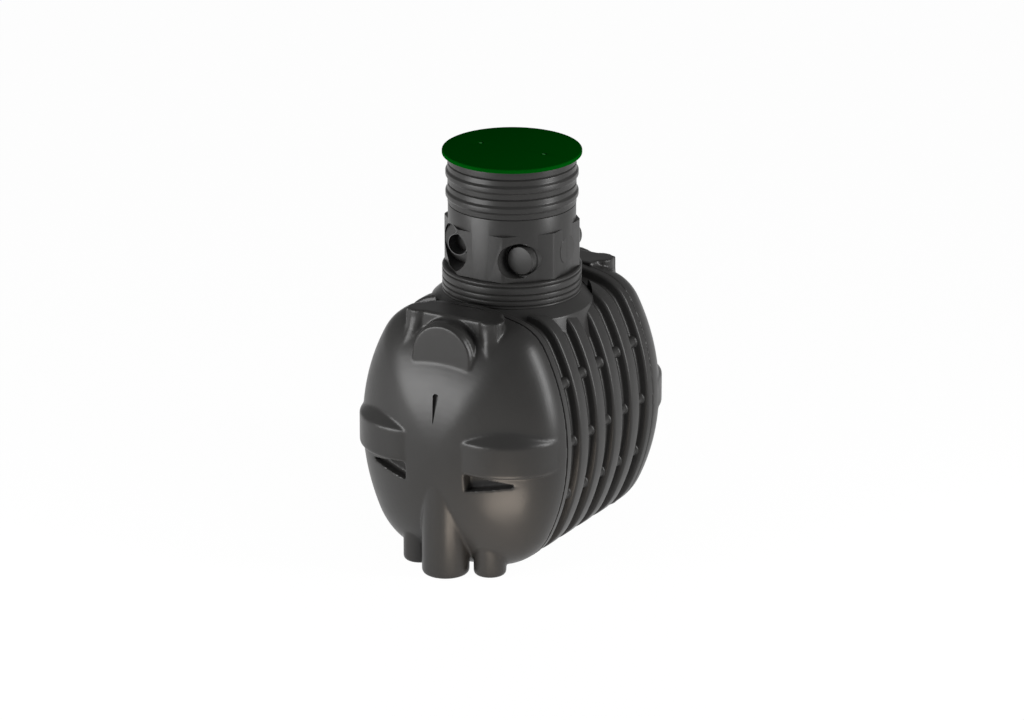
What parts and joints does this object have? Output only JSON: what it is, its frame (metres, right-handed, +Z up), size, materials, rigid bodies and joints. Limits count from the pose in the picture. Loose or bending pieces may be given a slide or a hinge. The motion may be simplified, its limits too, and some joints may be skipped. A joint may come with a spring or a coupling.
{
  "type": "rainwater tank",
  "caption": "Lying rainwater tank with a ribbed body, domed ends, feet, a round neck with an open inlet port and closed ports, and a flat lid.",
  "frame": {"origin": "on the ground under the middle of the neck, which is the middle of the bounding box's bottom", "axes": "+Z up, Y along the body with the open inlet port toward -Y, +X to the right seen from the front end"},
  "size_m": [1.11, 1.5454, 1.979],
  "materials": {
    "black_plastic": "moulded polyethylene, satin",
    "green_plastic": "moulded polyethylene, fine grain",
    "pipe_plastic": "extruded pipe, smooth",
    "seam_plastic": "welded seam"
  },
  "bodies": {
    "root": {"front_end": "black_plastic", "rear_end": "black_plastic", "right_wall": "black_plastic", "left_wall": "black_plastic", "floor_wall": "black_plastic", "lower_right_wall": "black_plastic", "lower_left_wall": "black_plastic", "upper_right_wall": "black_plastic", "upper_left_wall": "black_plastic", "front_crown": "black_plastic", "rear_crown": "black_plastic", "neck_saddle": "black_plastic", "neck_collar": "black_plastic", "inlet_ring": "black_plastic", "extension_ring": "black_plastic", "front_right_port": "black_plastic", "rear_right_port": "black_plastic", "rear_left_port": "black_plastic", "right_blank": "black_plastic", "left_blank": "black_plastic", "front_seam": "seam_plastic", "rear_seam": "seam_plastic", "inlet_pipe": "pipe_plastic", "lid": "green_plastic", "lid_screws": "green_plastic"}
  },
  "joints": []
}
